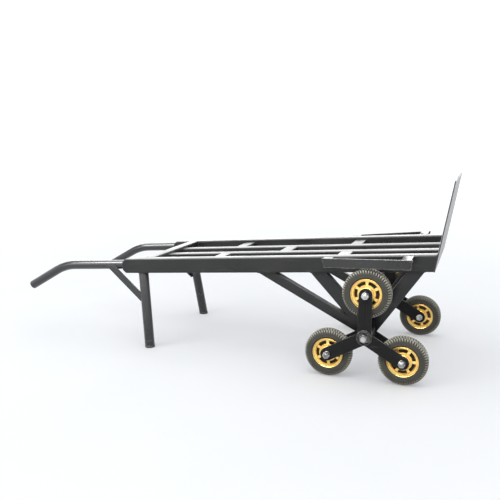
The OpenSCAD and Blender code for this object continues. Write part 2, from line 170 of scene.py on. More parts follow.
def edges(tree, radius):
    """1 on sharp edges and 0 on flat stretches."""
    rounded = add(tree, "ShaderNodeBevel", {"Radius": radius}, samples=6)
    flat = add(tree, "ShaderNodeNewGeometry").outputs["Normal"]
    likeness = add(tree, "ShaderNodeVectorMath", {0: rounded.outputs[0], 1: flat}, operation="DOT_PRODUCT")
    return span(tree, likeness.outputs["Value"], 0.99, 0.80)


def corners(tree, reach):
    """1 in tight corners and 0 in the open."""
    shade = add(tree, "ShaderNodeAmbientOcclusion", {"Distance": reach}, samples=8)
    return span(tree, shade.outputs["AO"], 0.75, 0.25)


def bump(tree, shader, height, distance, strength=1.0, before=None):
    inputs = {"Height": height, "Distance": distance, "Strength": strength}
    if before:
        inputs["Normal"] = before
    made = add(tree, "ShaderNodeBump", inputs)
    tree.links.new(made.outputs[0], shader.inputs["Normal"])
    return made.outputs[0]


def facing_up(tree):
    normal = add(tree, "ShaderNodeTexCoord").outputs["Normal"]
    return span(tree, add(tree, "ShaderNodeSeparateXYZ", {0: normal}).outputs["Z"], 0.5, 0.95)


def opaque(red, green, blue):
    return (red, green, blue, 1)


SETTLED_DUST = opaque(0.26, 0.255, 0.25)
RUBBED_PAINT = opaque(0.30, 0.30, 0.30)


def black_paint(
    name, base=0.017, dust=0.4, gloss=0.24, worn=0.45, specular=0.38, coat=0.0, wear_width=1.6,
):
    """Satin black enamel with dust on what faces up, scuffs, rubbed edges and a slight orange peel."""
    material, tree, shader = new_material(name)
    place = place_of(tree)
    broad = clouds(tree, place, 7, 5)
    fine = clouds(tree, place, 240, 3)
    scuffs = span(tree, clouds(tree, place, 34, 8, (0.25, 1.6, 1.6)), 0.60, 0.74)
    edge = edges(tree, wear_width * MM)
    wear = span(tree, clouds(tree, place, 95, 5), 0.42, 0.62, 0.15, worn)
    rubbed = times(tree, edge, wear)
    settled = times(tree, facing_up(tree), span(tree, broad, 0.35, 0.70, 0.1 * dust, 0.35 * dust))
    colour = mix(tree, span(tree, broad, 0.3, 0.7), grey(base * 0.8, 0.02), grey(base * 1.35))
    colour = mix(tree, times(tree, scuffs, 0.20), colour, grey(0.08))
    colour = mix(tree, settled, colour, SETTLED_DUST)
    colour = mix(tree, rubbed, colour, RUBBED_PAINT)
    tree.links.new(colour, shader.inputs["Base Color"])
    rough = span(tree, greater(tree, broad, scuffs), 0.3, 0.9, gloss, gloss + 0.20)
    tree.links.new(rough, shader.inputs["Roughness"])
    shader.inputs["Specular IOR Level"].default_value = specular
    shader.inputs["Coat Weight"].default_value = coat
    shader.inputs["Coat Roughness"].default_value = 0.15
    first = bump(tree, shader, fine, 0.25 * MM, 0.25)
    bump(tree, shader, broad, 1.2 * MM, 0.20, first)
    return material


def metal(name, base, dark, rough):
    """Plated or bare metal with brushed streaks and tarnish, brighter on its edges."""
    material, tree, shader = new_material(name)
    place = place_of(tree)
    tarnish = clouds(tree, place, 60, 6)
    streaks = clouds(tree, place, 420, 4, (1, 0.12, 1))
    bright = opaque(*[min(1, 1.2 * c) for c in base[:3]])
    colour = mix(tree, span(tree, tarnish, 0.38, 0.72), base, dark)
    colour = mix(tree, times(tree, edges(tree, 0.6 * MM), 0.45), colour, bright)
    tree.links.new(colour, shader.inputs["Base Color"])
    shader.inputs["Metallic"].default_value = 1.0
    dull = span(tree, greater(tree, tarnish, streaks), 0.4, 0.8, rough, rough + 0.22)
    tree.links.new(dull, shader.inputs["Roughness"])
    bump(tree, shader, streaks, 0.12 * MM, 0.12)
    return material


GOLD_BRIGHT = opaque(1.0, 0.74, 0.26)
GOLD_BROWN = opaque(0.80, 0.50, 0.12)
GOLD_SPECK = opaque(0.22, 0.12, 0.03)
GOLD_EDGE = opaque(1.0, 0.88, 0.50)
# Near-black brown of the painted shade in the gold's tight corners
GOLD_PAINTED_SHADE = opaque(0.10, 0.045, 0.008)


def gold_paint(name):
    """Glossy gold lacquer on pressed steel that turns browner in patches, darkened in its corners as
    painted shade.
    """
    material, tree, shader = new_material(name)
    place = place_of(tree)
    patches = clouds(tree, place, 38, 6)
    speck = span(tree, clouds(tree, place, 300, 4), 0.62, 0.76)
    colour = mix(tree, span(tree, patches, 0.36, 0.70), GOLD_BRIGHT, GOLD_BROWN)
    colour = mix(tree, times(tree, speck, 0.30), colour, GOLD_SPECK)
    colour = mix(tree, times(tree, edges(tree, 0.8 * MM), 0.5), colour, GOLD_EDGE)
    # Painted shade: the gold darkens towards near-black brown where the ambient occlusion finds tight
    # corners
    colour = mix(tree, times(tree, corners(tree, 9 * MM), 0.85), colour, GOLD_PAINTED_SHADE)
    tree.links.new(colour, shader.inputs["Base Color"])
    shader.inputs["Metallic"].default_value = 0.75
    tree.links.new(span(tree, patches, 0.3, 0.8, 0.16, 0.30), shader.inputs["Roughness"])
    shader.inputs["Coat Weight"].default_value = 0.5
    shader.inputs["Coat Roughness"].default_value = 0.12
    bump(tree, shader, patches, 0.4 * MM, 0.25)
    return material


def rubber(name, base, dust_colour, dust):
    """Solid rubber with pale dust in patches and a fine mould texture."""
    material, tree, shader = new_material(name)
    place = place_of(tree)
    broad = clouds(tree, place, 22, 6)
    fine = clouds(tree, place, 420, 4)
    dusty = span(tree, broad, 0.36, 0.66, 0.15 * dust, dust)
    colour = mix(tree, dusty, base, dust_colour)
    specks = times(tree, span(tree, fine, 0.55, 0.75), 0.4)
    colour = mix(tree, specks, colour, opaque(*[1.5 * c for c in dust_colour[:3]]))
    rubbed = times(tree, edges(tree, 0.9 * MM), 0.45)
    colour = mix(tree, rubbed, colour, opaque(*[1.6 * c for c in dust_colour[:3]]))
    tree.links.new(colour, shader.inputs["Base Color"])
    tree.links.new(span(tree, broad, 0.3, 0.7, 0.62, 0.85), shader.inputs["Roughness"])
    first = bump(tree, shader, fine, 0.35 * MM, 0.5)
    bump(tree, shader, broad, 1.0 * MM, 0.2, first)
    return material


def scuffed_plate(name):
    """Plate rubbed to a pale grey on its faces by loads, with scratches, and dark on its edges."""
    material, tree, shader = new_material(name)
    place = place_of(tree)
    normal = add(tree, "ShaderNodeTexCoord").outputs["Normal"]
    along = add(tree, "ShaderNodeSeparateXYZ", {0: normal}).outputs["X"]
    on_face = span(tree, add(tree, "ShaderNodeMath", {0: along}, operation="ABSOLUTE").outputs[0], 0.5, 0.8)
    broad = clouds(tree, place, 9, 6)
    fine = clouds(tree, place, 380, 5)
    scratches = span(tree, clouds(tree, place, 60, 8, (0.3, 0.2, 3)), 0.58, 0.72)
    pale = mix(tree, span(tree, broad, 0.3, 0.7), grey(0.24), grey(0.34))
    pale = mix(tree, times(tree, span(tree, fine, 0.50, 0.70), 0.4), pale, grey(0.10))
    pale = mix(tree, times(tree, scratches, 0.4), pale, grey(0.48))
    colour = mix(tree, on_face, grey(0.020), pale)
    tree.links.new(colour, shader.inputs["Base Color"])
    tree.links.new(span(tree, broad, 0.3, 0.7, 0.34, 0.52), shader.inputs["Roughness"])
    first = bump(tree, shader, fine, 0.4 * MM, 0.5)
    bump(tree, shader, scratches, 0.3 * MM, 0.3, first)
    return material


# Black of the sidewall rubber, which in the grooves stands as painted shade
RUBBER_BLACK_AND_GROOVE_SHADE = opaque(0.010, 0.009, 0.006)
LUG_DUST = opaque(0.235, 0.226, 0.185)
TYRE_SPECK = opaque(0.15, 0.143, 0.118)


def tread_rubber(name):
    """Tyre rubber: dark on the sidewall, dark in the grooves as painted shade, and pale with dust on the
    lugs' tops.
    """
    material, tree, shader = new_material(name)
    place = place_of(tree)
    broad = clouds(tree, place, 30, 6)
    fine = clouds(tree, place, 420, 4)
    raised = add(tree, "ShaderNodeAttribute", attribute_name="raised").outputs["Fac"]
    # The lugs' tops get dust, while the grooves, where the raised share is 0, stay black as painted shade
    dusty = times(tree, raised, span(tree, broad, 0.30, 0.62, 0.55, 1.0))
    colour = mix(tree, dusty, RUBBER_BLACK_AND_GROOVE_SHADE, LUG_DUST)
    specks = times(tree, span(tree, fine, 0.52, 0.75), 0.16)
    colour = mix(tree, specks, colour, TYRE_SPECK)
    tree.links.new(colour, shader.inputs["Base Color"])
    tree.links.new(span(tree, broad, 0.3, 0.7, 0.60, 0.85), shader.inputs["Roughness"])
    shader.inputs["Specular IOR Level"].default_value = 0.35
    first = bump(tree, shader, fine, 0.35 * MM, 0.5)
    bump(tree, shader, broad, 1.0 * MM, 0.25, first)
    return material


FRAME_BLACK = black_paint("frame_black", base=0.010, specular=0.34)
HANDLE_PAINT = black_paint(
    "handle_paint", base=0.008, dust=0.1, gloss=0.10, specular=0.5, worn=0.6, coat=0.5,
)
LEG_PAINT = black_paint("leg_paint", base=0.016, dust=0.1, gloss=0.20, specular=0.5, worn=0.6)
# Near-black brown finish as painted shade, for the sheet inside the rims behind their openings
RIM_SHADE = rubber("rim_shade", opaque(0.020, 0.012, 0.006), opaque(0.050, 0.030, 0.012), dust=0.4)
GUARD_BLACK = black_paint("guard_black", base=0.015, worn=1.0, wear_width=2.6)
WELD_BLACK = black_paint("weld_black", base=0.008, dust=0.3, gloss=0.26, worn=0.2)
STAR_BLACK = black_paint("star_black", base=0.004, dust=0.15, gloss=0.38, worn=0.30, specular=0.18)
HUB_BLACK = black_paint(
    "hub_black", base=0.007, dust=0.15, gloss=0.34, worn=0.9, specular=0.3, wear_width=3,
)
TOE_PAINT = scuffed_plate("toe_paint")
TYRE_RUBBER = tread_rubber("tyre_rubber")
FOOT_RUBBER = rubber("foot_rubber", grey(0.020), opaque(0.060, 0.059, 0.055), dust=0.5)
GOLD = gold_paint("rim_gold")
ZINC = metal("zinc", opaque(0.70, 0.70, 0.69), dark=opaque(0.16, 0.155, 0.15), rough=0.22)
AGED_ZINC = metal("aged_zinc", grey(0.24), dark=opaque(0.07, 0.068, 0.065), rough=0.30)
STEEL = metal("axle_steel", grey(0.62), dark=opaque(0.34, 0.33, 0.32), rough=0.26)
BRONZE = metal("bush_bronze", opaque(0.62, 0.42, 0.22), dark=opaque(0.34, 0.21, 0.10), rough=0.35)


# Meshes


def finish_mesh(name, bm, material, body, replaced=(), sharp=math.radians(38)):
    """Makes bm a piece that rides on a body; edges sharper than the angle stay crisp."""
    bmesh.ops.recalc_face_normals(bm, faces=bm.faces)
    for face in bm.faces:
        face.smooth = True
    for edge in bm.edges:
        edge.smooth = len(edge.link_faces) == 2 and edge.calc_face_angle(0) < sharp
    mesh = bpy.data.meshes.new(name)
    bm.to_mesh(mesh)
    bm.free()
    mesh.materials.append(material)
    piece = bpy.data.objects.new(name, mesh)
    bpy.context.scene.collection.objects.link(piece)
    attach(piece, body)
    if replaced:
        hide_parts(*replaced)
    return piece


def join_rings(bm, rings, closed_way=False):
    """Quads between rings of vertices that all have the same number."""
    count = len(rings[0])
    pairs = list(zip(rings, rings[1:]))
    if closed_way:
        pairs.append((rings[-1], rings[0]))
    for a, b in pairs:
        for i in range(count):
            k = (i + 1) % count
            bm.faces.new((a[i], a[k], b[k], b[i]))


def wheel_point(centre, angle, radius, across):
    """A point on a wheel: angle is in radians from +X towards +Z, and across is along Y."""
    return centre + Vector((radius * math.cos(angle), across, radius * math.sin(angle)))


# Tyres: a solid rubber tyre with lugs that wrap its shoulders and two rows of slanted blocks

LUG_PITCHES = 56
# Places along one pitch, and whether the block is there
LUG_STEPS = ((0.00, 0), (0.07, 1), (0.29, 1), (0.50, 1), (0.57, 0), (0.79, 0))
# Half of the tyre's section from its bead to its middle line: across, radius, lug depth, and how
# far the lugs are moved round, in pitches
TYRE_HALF = (
    (14.6, 47.3, 0, 0), (16.8, 47.6, 0, 0), (18.0, 49.0, 0, 0), (18.4, 51.0, 0, 0),
    (19.1, 51.8, 0, 0), (19.1, 53.0, 0, 0), (18.5, 53.8, 0, 0), (18.9, 58.0, 0, 0),
    (18.8, 61.4, 0, 0), (18.4, 62.8, 0, 0), (17.8, 63.8, 1.3, 0), (16.9, 65.6, 2.6, 0.04),
    (15.2, 67.6, 3.3, 0.10), (12.6, 69.0, 3.8, 0.20), (12.0, 69.2, 0, 0.24), (10.6, 69.4, 0, 0.55),
    (10.0, 69.5, 4.0, 0.58), (6.0, 69.5, 4.0, 0.80), (2.0, 69.5, 4.0, 1.02), (1.4, 69.5, 0, 1.05),
)
LUG_DEPTH = 4.0
LUGS_FROM = 63.0
# A radius well inside the section, which tells its outer side
SECTION_HEART = 55.0
SIDEWALL_PALENESS = 0.075
# The section's own half width and radius, which are fitted to the CAD tyre's
TYRE_HALF_WIDTH = 20.0
TYRE_RADIUS = 73.5


def tyre_stations():
    """The whole section, from the outer bead over the tread to the inner one, with its normals."""
    section = list(TYRE_HALF) + [(-a, r, d, s) for a, r, d, s in reversed(TYRE_HALF)]
    stations = []
    for i, (across, radius, depth, shift) in enumerate(section):
        before = section[max(0, i - 1)]
        after = section[min(len(section) - 1, i + 1)]
        along = Vector((after[0] - before[0], after[1] - before[1])).normalized()
        normal = Vector((-along.y, along.x))
        if normal.dot(Vector((across, radius - SECTION_HEART))) < 0:
            normal = -normal
        stations.append((across, radius, depth, shift, normal))
    return stations


def make_tyre(wheel, side):
    node = f"tyre_{wheel}_{side}"
    low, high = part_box(node)
    centre = (low + high) / 2
    wide = (high.y - low.y) / 2 / TYRE_HALF_WIDTH
    tall = (high.z - low.z) / 2 / TYRE_RADIUS
    bm = bmesh.new()
    dust_and_groove_shade = bm.verts.layers.float.new("raised")
    rings = []
    for across, radius, depth, shift, normal in tyre_stations():
        ring = []
        for pitch in range(LUG_PITCHES):
            for step, raised in LUG_STEPS:
                angle = (pitch + step + shift) / LUG_PITCHES * math.tau
                a = across + normal.x * depth * raised
                r = radius + normal.y * depth * raised
                vertex = bm.verts.new(wheel_point(centre, angle, r * tall, a * wide))
                on_tread = radius > LUGS_FROM
                # On the tread this share is the lugs' dust, and it is 0 in the grooves, which stay black as
                # painted shade
                vertex[dust_and_groove_shade] = raised * depth / LUG_DEPTH if on_tread else SIDEWALL_PALENESS
                ring.append(vertex)
        rings.append(ring)
    join_rings(bm, rings, closed_way=True)
    finish_mesh(f"tread_{wheel}_{side}", bm, TYRE_RUBBER, f"wheel_{wheel}_{side}", [node])


# Rims: two pressed discs that meet the tyre in a rolled lip, with six openings round the hub;
# the far disc is half a spoke further round, so the openings do not line up

RIM_COLUMNS = 96
RIM_OPENINGS = 6
OPENING_SHARE = 0.75
# Thickness of the pressed sheet
RIM_SHEET = 1.8
# Half of the rim's section from its bore to its middle line under the tyre: radius and across
RIM_HALF = (
    (16.3, 0.0), (16.3, 18.8), (16.9, 19.5), (20.0, 19.5), (20.8, 18.9), (21.6, 15.8),
    (22.6, 14.2), (24.0, 14.0), (24.6, 14.7), (25.8, 14.7), (26.6, 13.6), (27.4, 12.6),
    (28.0, 9.4), (37.0, 8.8), (37.8, 9.4), (38.8, 12.4), (39.8, 13.4), (41.2, 13.5),
    (41.7, 14.2), (42.8, 14.3), (43.4, 15.2), (44.6, 16.8), (45.8, 17.6), (46.5, 17.4),
    (46.9, 16.6), (46.9, 15.0), (46.9, 0.0),
)
OPENING_FROM, OPENING_TO = 28.0, 37.0
# A sheet in the wheel's mid-plane closes the openings from behind, coloured near-black as painted shade:
# radius and across
RIM_WEB = ((18.4, -1), (45.0, -1), (45.0, 1), (18.4, 1))
# Place of one spoke of each wheel, in degrees from +X towards +Z
SPOKES_AT = {
    ("top", "right"): 30.0, ("rear", "right"): 33.0, ("front", "right"): 0.0,
    ("top", "left"): 20.0, ("rear", "left"): 52.0, ("front", "left"): 45.0,
}


def rim_ring(bm, centre, radius, across, turn=0.0):
    """A ring of vertices; radius and across are in millimetres."""
    return [
        bm.verts.new(wheel_point(centre, i / RIM_COLUMNS * math.tau + turn, radius * MM, across * MM))
        for i in range(RIM_COLUMNS)
    ]


def make_rim(wheel, side):
    node = f"rim_{wheel}_{side}"
    centre = middle(node)
    turn = math.radians(SPOKES_AT[wheel, side])
    section = list(RIM_HALF) + [(r, -a) for r, a in reversed(RIM_HALF[1:-1])]
    bm = bmesh.new()
    rings = [rim_ring(bm, centre, radius, across, turn) for radius, across in section]
    per_opening = RIM_COLUMNS // RIM_OPENINGS
    solid = round(per_opening * (1 - OPENING_SHARE))
    for k, (a, b) in enumerate(zip(rings, rings[1:] + rings[:1])):
        here, there = section[k][0], section[(k + 1) % len(section)][0]
        opening = {here, there} == {OPENING_FROM, OPENING_TO}
        turned = per_opening // 2 if section[k][1] > 0 else 0
        for i in range(RIM_COLUMNS):
            if opening and (i + solid // 2 + turned) % per_opening >= solid:
                continue
            j = (i + 1) % RIM_COLUMNS
            bm.faces.new((a[i], a[j], b[j], b[i]))
    piece = finish_mesh(f"pressed_{node}", bm, GOLD, f"wheel_{wheel}_{side}", [node])
    wall = piece.modifiers.new("sheet", "SOLIDIFY")
    wall.thickness = RIM_SHEET * MM
    wall.offset = -1
    wall.use_even_offset = True
    make_web(wheel, side, centre)


def make_web(wheel, side, centre):
    """The sheet in the wheel's mid-plane that the openings end at, coloured near-black as painted shade."""
    bm = bmesh.new()
    rings = [rim_ring(bm, centre, radius, across) for radius, across in RIM_WEB]
    join_rings(bm, rings, closed_way=True)
    finish_mesh(f"rim_web_{wheel}_{side}", bm, RIM_SHADE, f"wheel_{wheel}_{side}")


# Fasteners: hexagons with their corners turned off, and threads

BOLT_FLATS = 19 * MM
BOLT_RADIUS = 6 * MM
NUT_HEIGHT = 10 * MM
HEAD_HEIGHT = 8 * MM
AXLE_NUT_FLATS = 24 * MM
AXLE_NUT_HEIGHT = 12 * MM
CHAMFER_ANGLE = math.radians(30)
# A nut's flat crown, as a share of its width
CROWN_SHARE = 0.97
HEX_COLUMNS = 48
THREAD_COLUMNS = 32
THREAD_PITCH = 2.0 * MM
# Depth of a thread as a share of its diameter, and length and slope of its chamfered tip
THREAD_DEPTH = 0.06
THREAD_TIP = 1.2 * MM
THREAD_TIP_SLOPE = 0.8
# How far nuts and heads are turned, in radians: the first one, each next one, and a head from its nut
NUT_TURN, NEXT_TURN, HEAD_TURN = 0.35, 1.1, 0.4
AXLE_NUT_TURN, AXLE_NEXT_TURN = 0.2, 0.3
# Edges that are sharper than this stay crisp on nuts and on bolts
NUT_EDGES = math.radians(20)
BOLT_EDGES = math.radians(28)


def hexagon(bm, base, way, flats, height, both_ends=True):
    """A hexagon that stands on base along Y, way is 1 or -1, with chamfered corners."""
    apothem = flats / 2
    crown = apothem * CROWN_SHARE
    rings = []

    def corner(angle):
        inside = (angle + math.pi / 6) % (math.pi / 3) - math.pi / 6
        return apothem / math.cos(inside)

    def ring(radius_of, y_of):
        made = []
        for i in range(HEX_COLUMNS):
            angle = i / HEX_COLUMNS * math.tau
            r = radius_of(angle)
            made.append(bm.verts.new(wheel_point(base, angle, r, way * y_of(r))))
        rings.append(made)

    def fall(r):
        return max(0.0, (r - crown) * math.tan(CHAMFER_ANGLE))

    if both_ends:
        ring(lambda a: crown, lambda r: 0)
        ring(corner, fall)
    else:
        ring(corner, lambda r: 0)
    ring(corner, lambda r: height - fall(r))
    ring(lambda a: crown, lambda r: height)
    join_rings(bm, rings)
    bm.faces.new(rings[0])
    bm.faces.new(rings[-1])


def thread(bm, base, way, radius, length):
    """A threaded end that stands on base along Y, with a chamfered tip."""
    rings = []
    rows = max(6, round(length / (THREAD_PITCH / 4)))
    depth = THREAD_DEPTH * radius * 2
    for row in range(rows + 1):
        along = length * row / rows
        tip = max(0.0, along - (length - THREAD_TIP))
        ring = []
        for i in range(THREAD_COLUMNS):
            turn = i / THREAD_COLUMNS
            phase = (along / THREAD_PITCH + turn) % 1
            r = radius - depth * (1 - abs(2 * phase - 1)) - tip * THREAD_TIP_SLOPE
            ring.append(bm.verts.new(wheel_point(base, turn * math.tau, r, way * along)))
        rings.append(ring)
    join_rings(bm, rings)
    bm.faces.new(rings[0])
    bm.faces.new(rings[-1])


def place_hexagon(bm, base, way, flats, height, turn, both_ends=True):
    """A hexagon turned about its own axis, added to bm."""
    one = bmesh.new()
    hexagon(one, base, way, flats, height, both_ends)
    bmesh.ops.rotate(one, verts=one.verts, cent=base, matrix=Matrix.Rotation(turn, 3, "Y"))
    mesh = bpy.data.meshes.new("part")
    one.to_mesh(mesh)
    one.free()
    bm.from_mesh(mesh)
    bpy.data.meshes.remove(mesh)


def make_wheel_fasteners(side):
    """Nuts with the ends of their bolts on the outer side, and bolt heads on the inner side."""
    sign = SIDES[side]
    nuts, bolts = bmesh.new(), bmesh.new()
    low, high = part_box(f"wheel_nuts_{side}")
    nut_face = low.y if sign > 0 else high.y
    low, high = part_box(f"wheel_bolts_{side}")
    head_face = low.y if sign > 0 else high.y
    tip = high.y if sign > 0 else low.y
    for i, wheel in enumerate(WHEELS):
        hub = middle(f"rim_{wheel}_{side}")
        turn = NUT_TURN + NEXT_TURN * i
        place_hexagon(nuts, Vector((hub.x, nut_face, hub.z)), sign, BOLT_FLATS, NUT_HEIGHT, turn)
        under_head = Vector((hub.x, head_face + sign * HEAD_HEIGHT, hub.z))
        turn += HEAD_TURN
        place_hexagon(bolts, under_head, -sign, BOLT_FLATS, HEAD_HEIGHT, turn, both_ends=False)
        thread(bolts, under_head, sign, BOLT_RADIUS, abs(tip - under_head.y))
    body = f"cluster_{side}"
    finish_mesh(f"hex_nuts_{side}", nuts, ZINC, body, [f"wheel_nuts_{side}"], NUT_EDGES)
    finish_mesh(f"hex_bolts_{side}", bolts, ZINC, body, [f"wheel_bolts_{side}"], BOLT_EDGES)


def make_axle_nuts():
    nuts = bmesh.new()
    low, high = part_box("axle_nuts")
    for sign, outer in ((1, high.y), (-1, low.y)):
        base = Vector((axle.x, outer - sign * AXLE_NUT_HEIGHT, axle.z))
        turn = AXLE_NUT_TURN + AXLE_NEXT_TURN * sign
        place_hexagon(nuts, base, sign, AXLE_NUT_FLATS, AXLE_NUT_HEIGHT, turn)
    finish_mesh("axle_hex_nuts", nuts, AGED_ZINC, "frame", ["axle_nuts"], NUT_EDGES)


# Weld beads

BEAD_RIPPLE = 4.2 * MM
BEAD_STEP = 1.3 * MM
BEAD_SIDES = 8
# Shares of a bead's radius: between its ripples, added on a ripple, added or taken by chance, and left
# at its ends
BEAD_LOW, BEAD_RISE, BEAD_UNEVENNESS, BEAD_END = 0.86, 0.20, 0.25, 0.45
# Patches of the chance part in a metre
BEAD_PATCHES = 160
# Radius of each joint's bead in millimetres
BEAD_RADIUS = {
    "bracket": 1.6, "slat": 1.7, "crossbar": 1.9, "handle": 1.9, "hub": 1.9, "boss": 2.0,
    "strut": 2.1, "toe": 2.2, "leg": 2.2,
}


def bead(bm, points, radius, closed=False):
    """A rippled weld bead along points; its section is round, and half of it sits in the joint."""
    track = [Vector(p) for p in points]
    if closed:
        track.append(track[0])
    places = []
    for a, b in zip(track, track[1:]):
        count = max(1, round((b - a).length / BEAD_STEP))
        places += [a.lerp(b, i / count) for i in range(count)]
    if not closed:
        places.append(track[-1])
    rings, total, travelled = [], len(places), 0.0
    for i, here in enumerate(places):
        before = places[i - 1] if closed or i else here
        after = places[(i + 1) % total] if closed or i < total - 1 else here
        along = (after - before).normalized()
        helper = Vector((0, 0, 1)) if abs(along.z) < 0.8 else Vector((1, 0, 0))
        side_way = along.cross(helper).normalized()
        up_way = side_way.cross(along)
        travelled += (here - before).length if i else 0
        size = radius * (BEAD_LOW + BEAD_RISE * abs(math.sin(math.pi * travelled / BEAD_RIPPLE)))
        size *= 1 + BEAD_UNEVENNESS * noise.noise(here * BEAD_PATCHES)
        if not closed and i in (0, total - 1):
            size *= BEAD_END
        rings.append([
            bm.verts.new(here + (side_way * math.cos(t) + up_way * math.sin(t)) * size)
            for t in [k / BEAD_SIDES * math.tau for k in range(BEAD_SIDES)]
        ])
    join_rings(bm, rings, closed_way=closed)
    if not closed:
        bm.faces.new(rings[0])
        bm.faces.new(rings[-1])


# Bed and axle frame: square tubes with round corners

RAIL_ROUND, SLAT_ROUND, STRUT_ROUND = 4, 3, 2.5
# How far a bar goes on into the rounded corners of the tube it meets
CROSSBAR_SUNK, SPACER_SUNK, SLAT_SUNK, BRACE_SUNK = 3.5, 2.5, 1, 3
# The struts start this far from the axle's middle line, inside the boss
STRUT_FROM = 14
# Bars that cross are a little slimmer than the front strut, so that no two faces lie in one plane
BRACE_SLIMMER, REAR_STRUT_SLIMMER = 0.3, 0.2


def half_outline(width, height, corner, cuts=()):
    """Right half of a rounded rectangle, from its bottom up; cuts are heights with extra points."""
    half = width / 2
    turns = [k * math.pi / 8 for k in range(5)]
    low = [(half - corner + corner * math.sin(t), corner - corner * math.cos(t)) for t in turns]
    high = [(half - corner + corner * math.cos(t), height - corner + corner * math.sin(t)) for t in turns]
    return low + [(half, up) for up in cuts] + high


def square_bar(bm, half, place, start, end):
    """A closed bar; place(along, across, up) gives a point, start(up) and end(up) where the bar ends."""
    rings = []
    for where in (start, end):
        right = [bm.verts.new(place(where(up), across, up)) for across, up in half]
        left = [bm.verts.new(place(where(up), -across, up)) for across, up in reversed(half)]
        rings.append(right + left)
    join_rings(bm, rings)
    count = len(half)
    for ring in rings:
        for i in range(count - 1):
            bm.faces.new((ring[i], ring[i + 1], ring[2 * count - 2 - i], ring[2 * count - 1 - i]))


def tube_piece(name, bars, replaced):
    """One piece made of bars, each a half outline, a place function, a start and an end."""
    bm = bmesh.new()
    for bar in bars:
        square_bar(bm, *bar)
    finish_mesh(name, bm, FRAME_BLACK, "frame", replaced)


def rail_start(up):
    """The handle end of a rail, with its corners cut."""
    return -RAIL_BACK + max(0, RAIL_CORNER - up, up - (RAIL_HEIGHT - RAIL_CORNER))


def fixed(where):
    """An end that is square to its bar."""
    return lambda up: where


def make_rail_and_slat(side, sign):
    rail = half_outline(RAIL_WIDTH, RAIL_HEIGHT, RAIL_ROUND, (RAIL_CORNER, RAIL_HEIGHT - RAIL_CORNER))
    slat = half_outline(SLAT_WIDTH, SLAT_HEIGHT, SLAT_ROUND)

    def rail_place(along, across, up):
        return on_bed(along, sign * RAIL_Y + across, up)

    def slat_place(along, across, up):
        return on_bed(along, sign * SLAT_Y + across, SLAT_LOW + up)

    def slat_toe(up):
        return toe_x(SLAT_LOW + up)

    tube_piece(f"rail_{side}", [(rail, rail_place, rail_start, toe_x)], [f"side_rail_{side}"])
    slat_start = fixed(SLAT_START - SLAT_SUNK)
    tube_piece(f"slat_{side}", [(slat, slat_place, slat_start, slat_toe)], [f"bed_slat_{side}"])


def cross_bar(half, back, low, sign, first, last):
    """A bar across the bed, from first to last away from the middle on the side of sign."""

    def place(along, across, up):
        return on_bed(-back + across, sign * along, low + up)

    return half, place, fixed(first), fixed(last)


def make_bed():
    for side, sign in SIDES.items():
        make_rail_and_slat(side, sign)
    reach = RAIL_INNER + CROSSBAR_SUNK
    crossbar = half_outline(CROSSBAR_WIDTH, CROSSBAR_HEIGHT, SLAT_ROUND)
    bars = [cross_bar(crossbar, CROSSBAR_BACK, CROSSBAR_LOW, 1, -reach, reach)]
    tube_piece("crossbar", bars, ["handle_end_crossbar"])
    spacer = half_outline(SPACER_WIDTH, SLAT_HEIGHT, SLAT_ROUND)
    inner, outer = SLAT_FACES[1] - SPACER_SUNK, RAIL_INNER + SPACER_SUNK
    bars = [
        cross_bar(spacer, back, SLAT_LOW, sign, inner, outer)
        for back in OUTER_SPACERS for sign in SIDES.values()
    ]
    tube_piece("outer_spacers", bars, ["spacer_bars_outer"])
    half_gap = SLAT_FACES[0] + SPACER_SUNK
    bars = [cross_bar(spacer, MIDDLE_SPACER, SLAT_LOW, 1, -half_gap, half_gap)]
    tube_piece("middle_spacer", bars, ["spacer_bar_middle"])


def make_strut(end, side, sign, way):
    """A leg of the V from the axle boss up to the rail's underside; way is 1 for the front one."""
    lean = way * STRUT_LEAN

    def place(along, across, up):
        x = up - STRUT_WIDTH / 2
        turned_x = x * math.cos(lean) + along * math.sin(lean)
        turned_z = along * math.cos(lean) - x * math.sin(lean)
        return on_bed(AXLE_ON_BED.x + turned_x, sign * RAIL_Y + across, AXLE_ON_BED.z + turned_z)

    def to_underside(up):
        return (-AXLE_ON_BED.z + (up - STRUT_WIDTH / 2) * math.sin(lean)) / math.cos(lean)

    depth = STRUT_DEPTH if way > 0 else STRUT_DEPTH - REAR_STRUT_SLIMMER
    half = half_outline(depth, STRUT_WIDTH, STRUT_ROUND)
    bars = [(half, place, fixed(STRUT_FROM), to_underside)]
    tube_piece(f"v_strut_{end}_{side}", bars, [f"strut_{end}_{side}"])


def make_long_brace(side, sign):
    """The bar from the rail down to the rear strut's rear face."""
    cosine, sine = math.cos(BRACE_ANGLE), math.sin(BRACE_ANGLE)

    def place(along, across, up):
        z = up - BRACE_WIDTH / 2
        x = along * cosine + z * sine
        return on_bed(-BRACE_BACK + x, sign * RAIL_Y + across, z * cosine - along * sine)

    def top(up):
        return (up - BRACE_WIDTH / 2) / math.tan(BRACE_ANGLE)

    def foot(up):
        z = up - BRACE_WIDTH / 2
        dx = -BRACE_BACK + z * sine - AXLE_ON_BED.x
        dz = z * cosine - AXLE_ON_BED.z
        face = -STRUT_WIDTH / 2 + BRACE_SUNK
        reach = face - dx * math.cos(STRUT_LEAN) - dz * math.sin(STRUT_LEAN)
        return reach / math.cos(BRACE_ANGLE + STRUT_LEAN)

    half = half_outline(STRUT_DEPTH - BRACE_SLIMMER, BRACE_WIDTH, STRUT_ROUND)
    tube_piece(f"brace_{side}", [(half, place, top, foot)], [f"long_brace_{side}"])


def make_axle_frame():
    for side, sign in SIDES.items():
        make_strut("front", side, sign, 1)
        make_strut("rear", side, sign, -1)
        make_long_brace(side, sign)


# Handles: round tubes with an easy bend, open at the tip round a plug

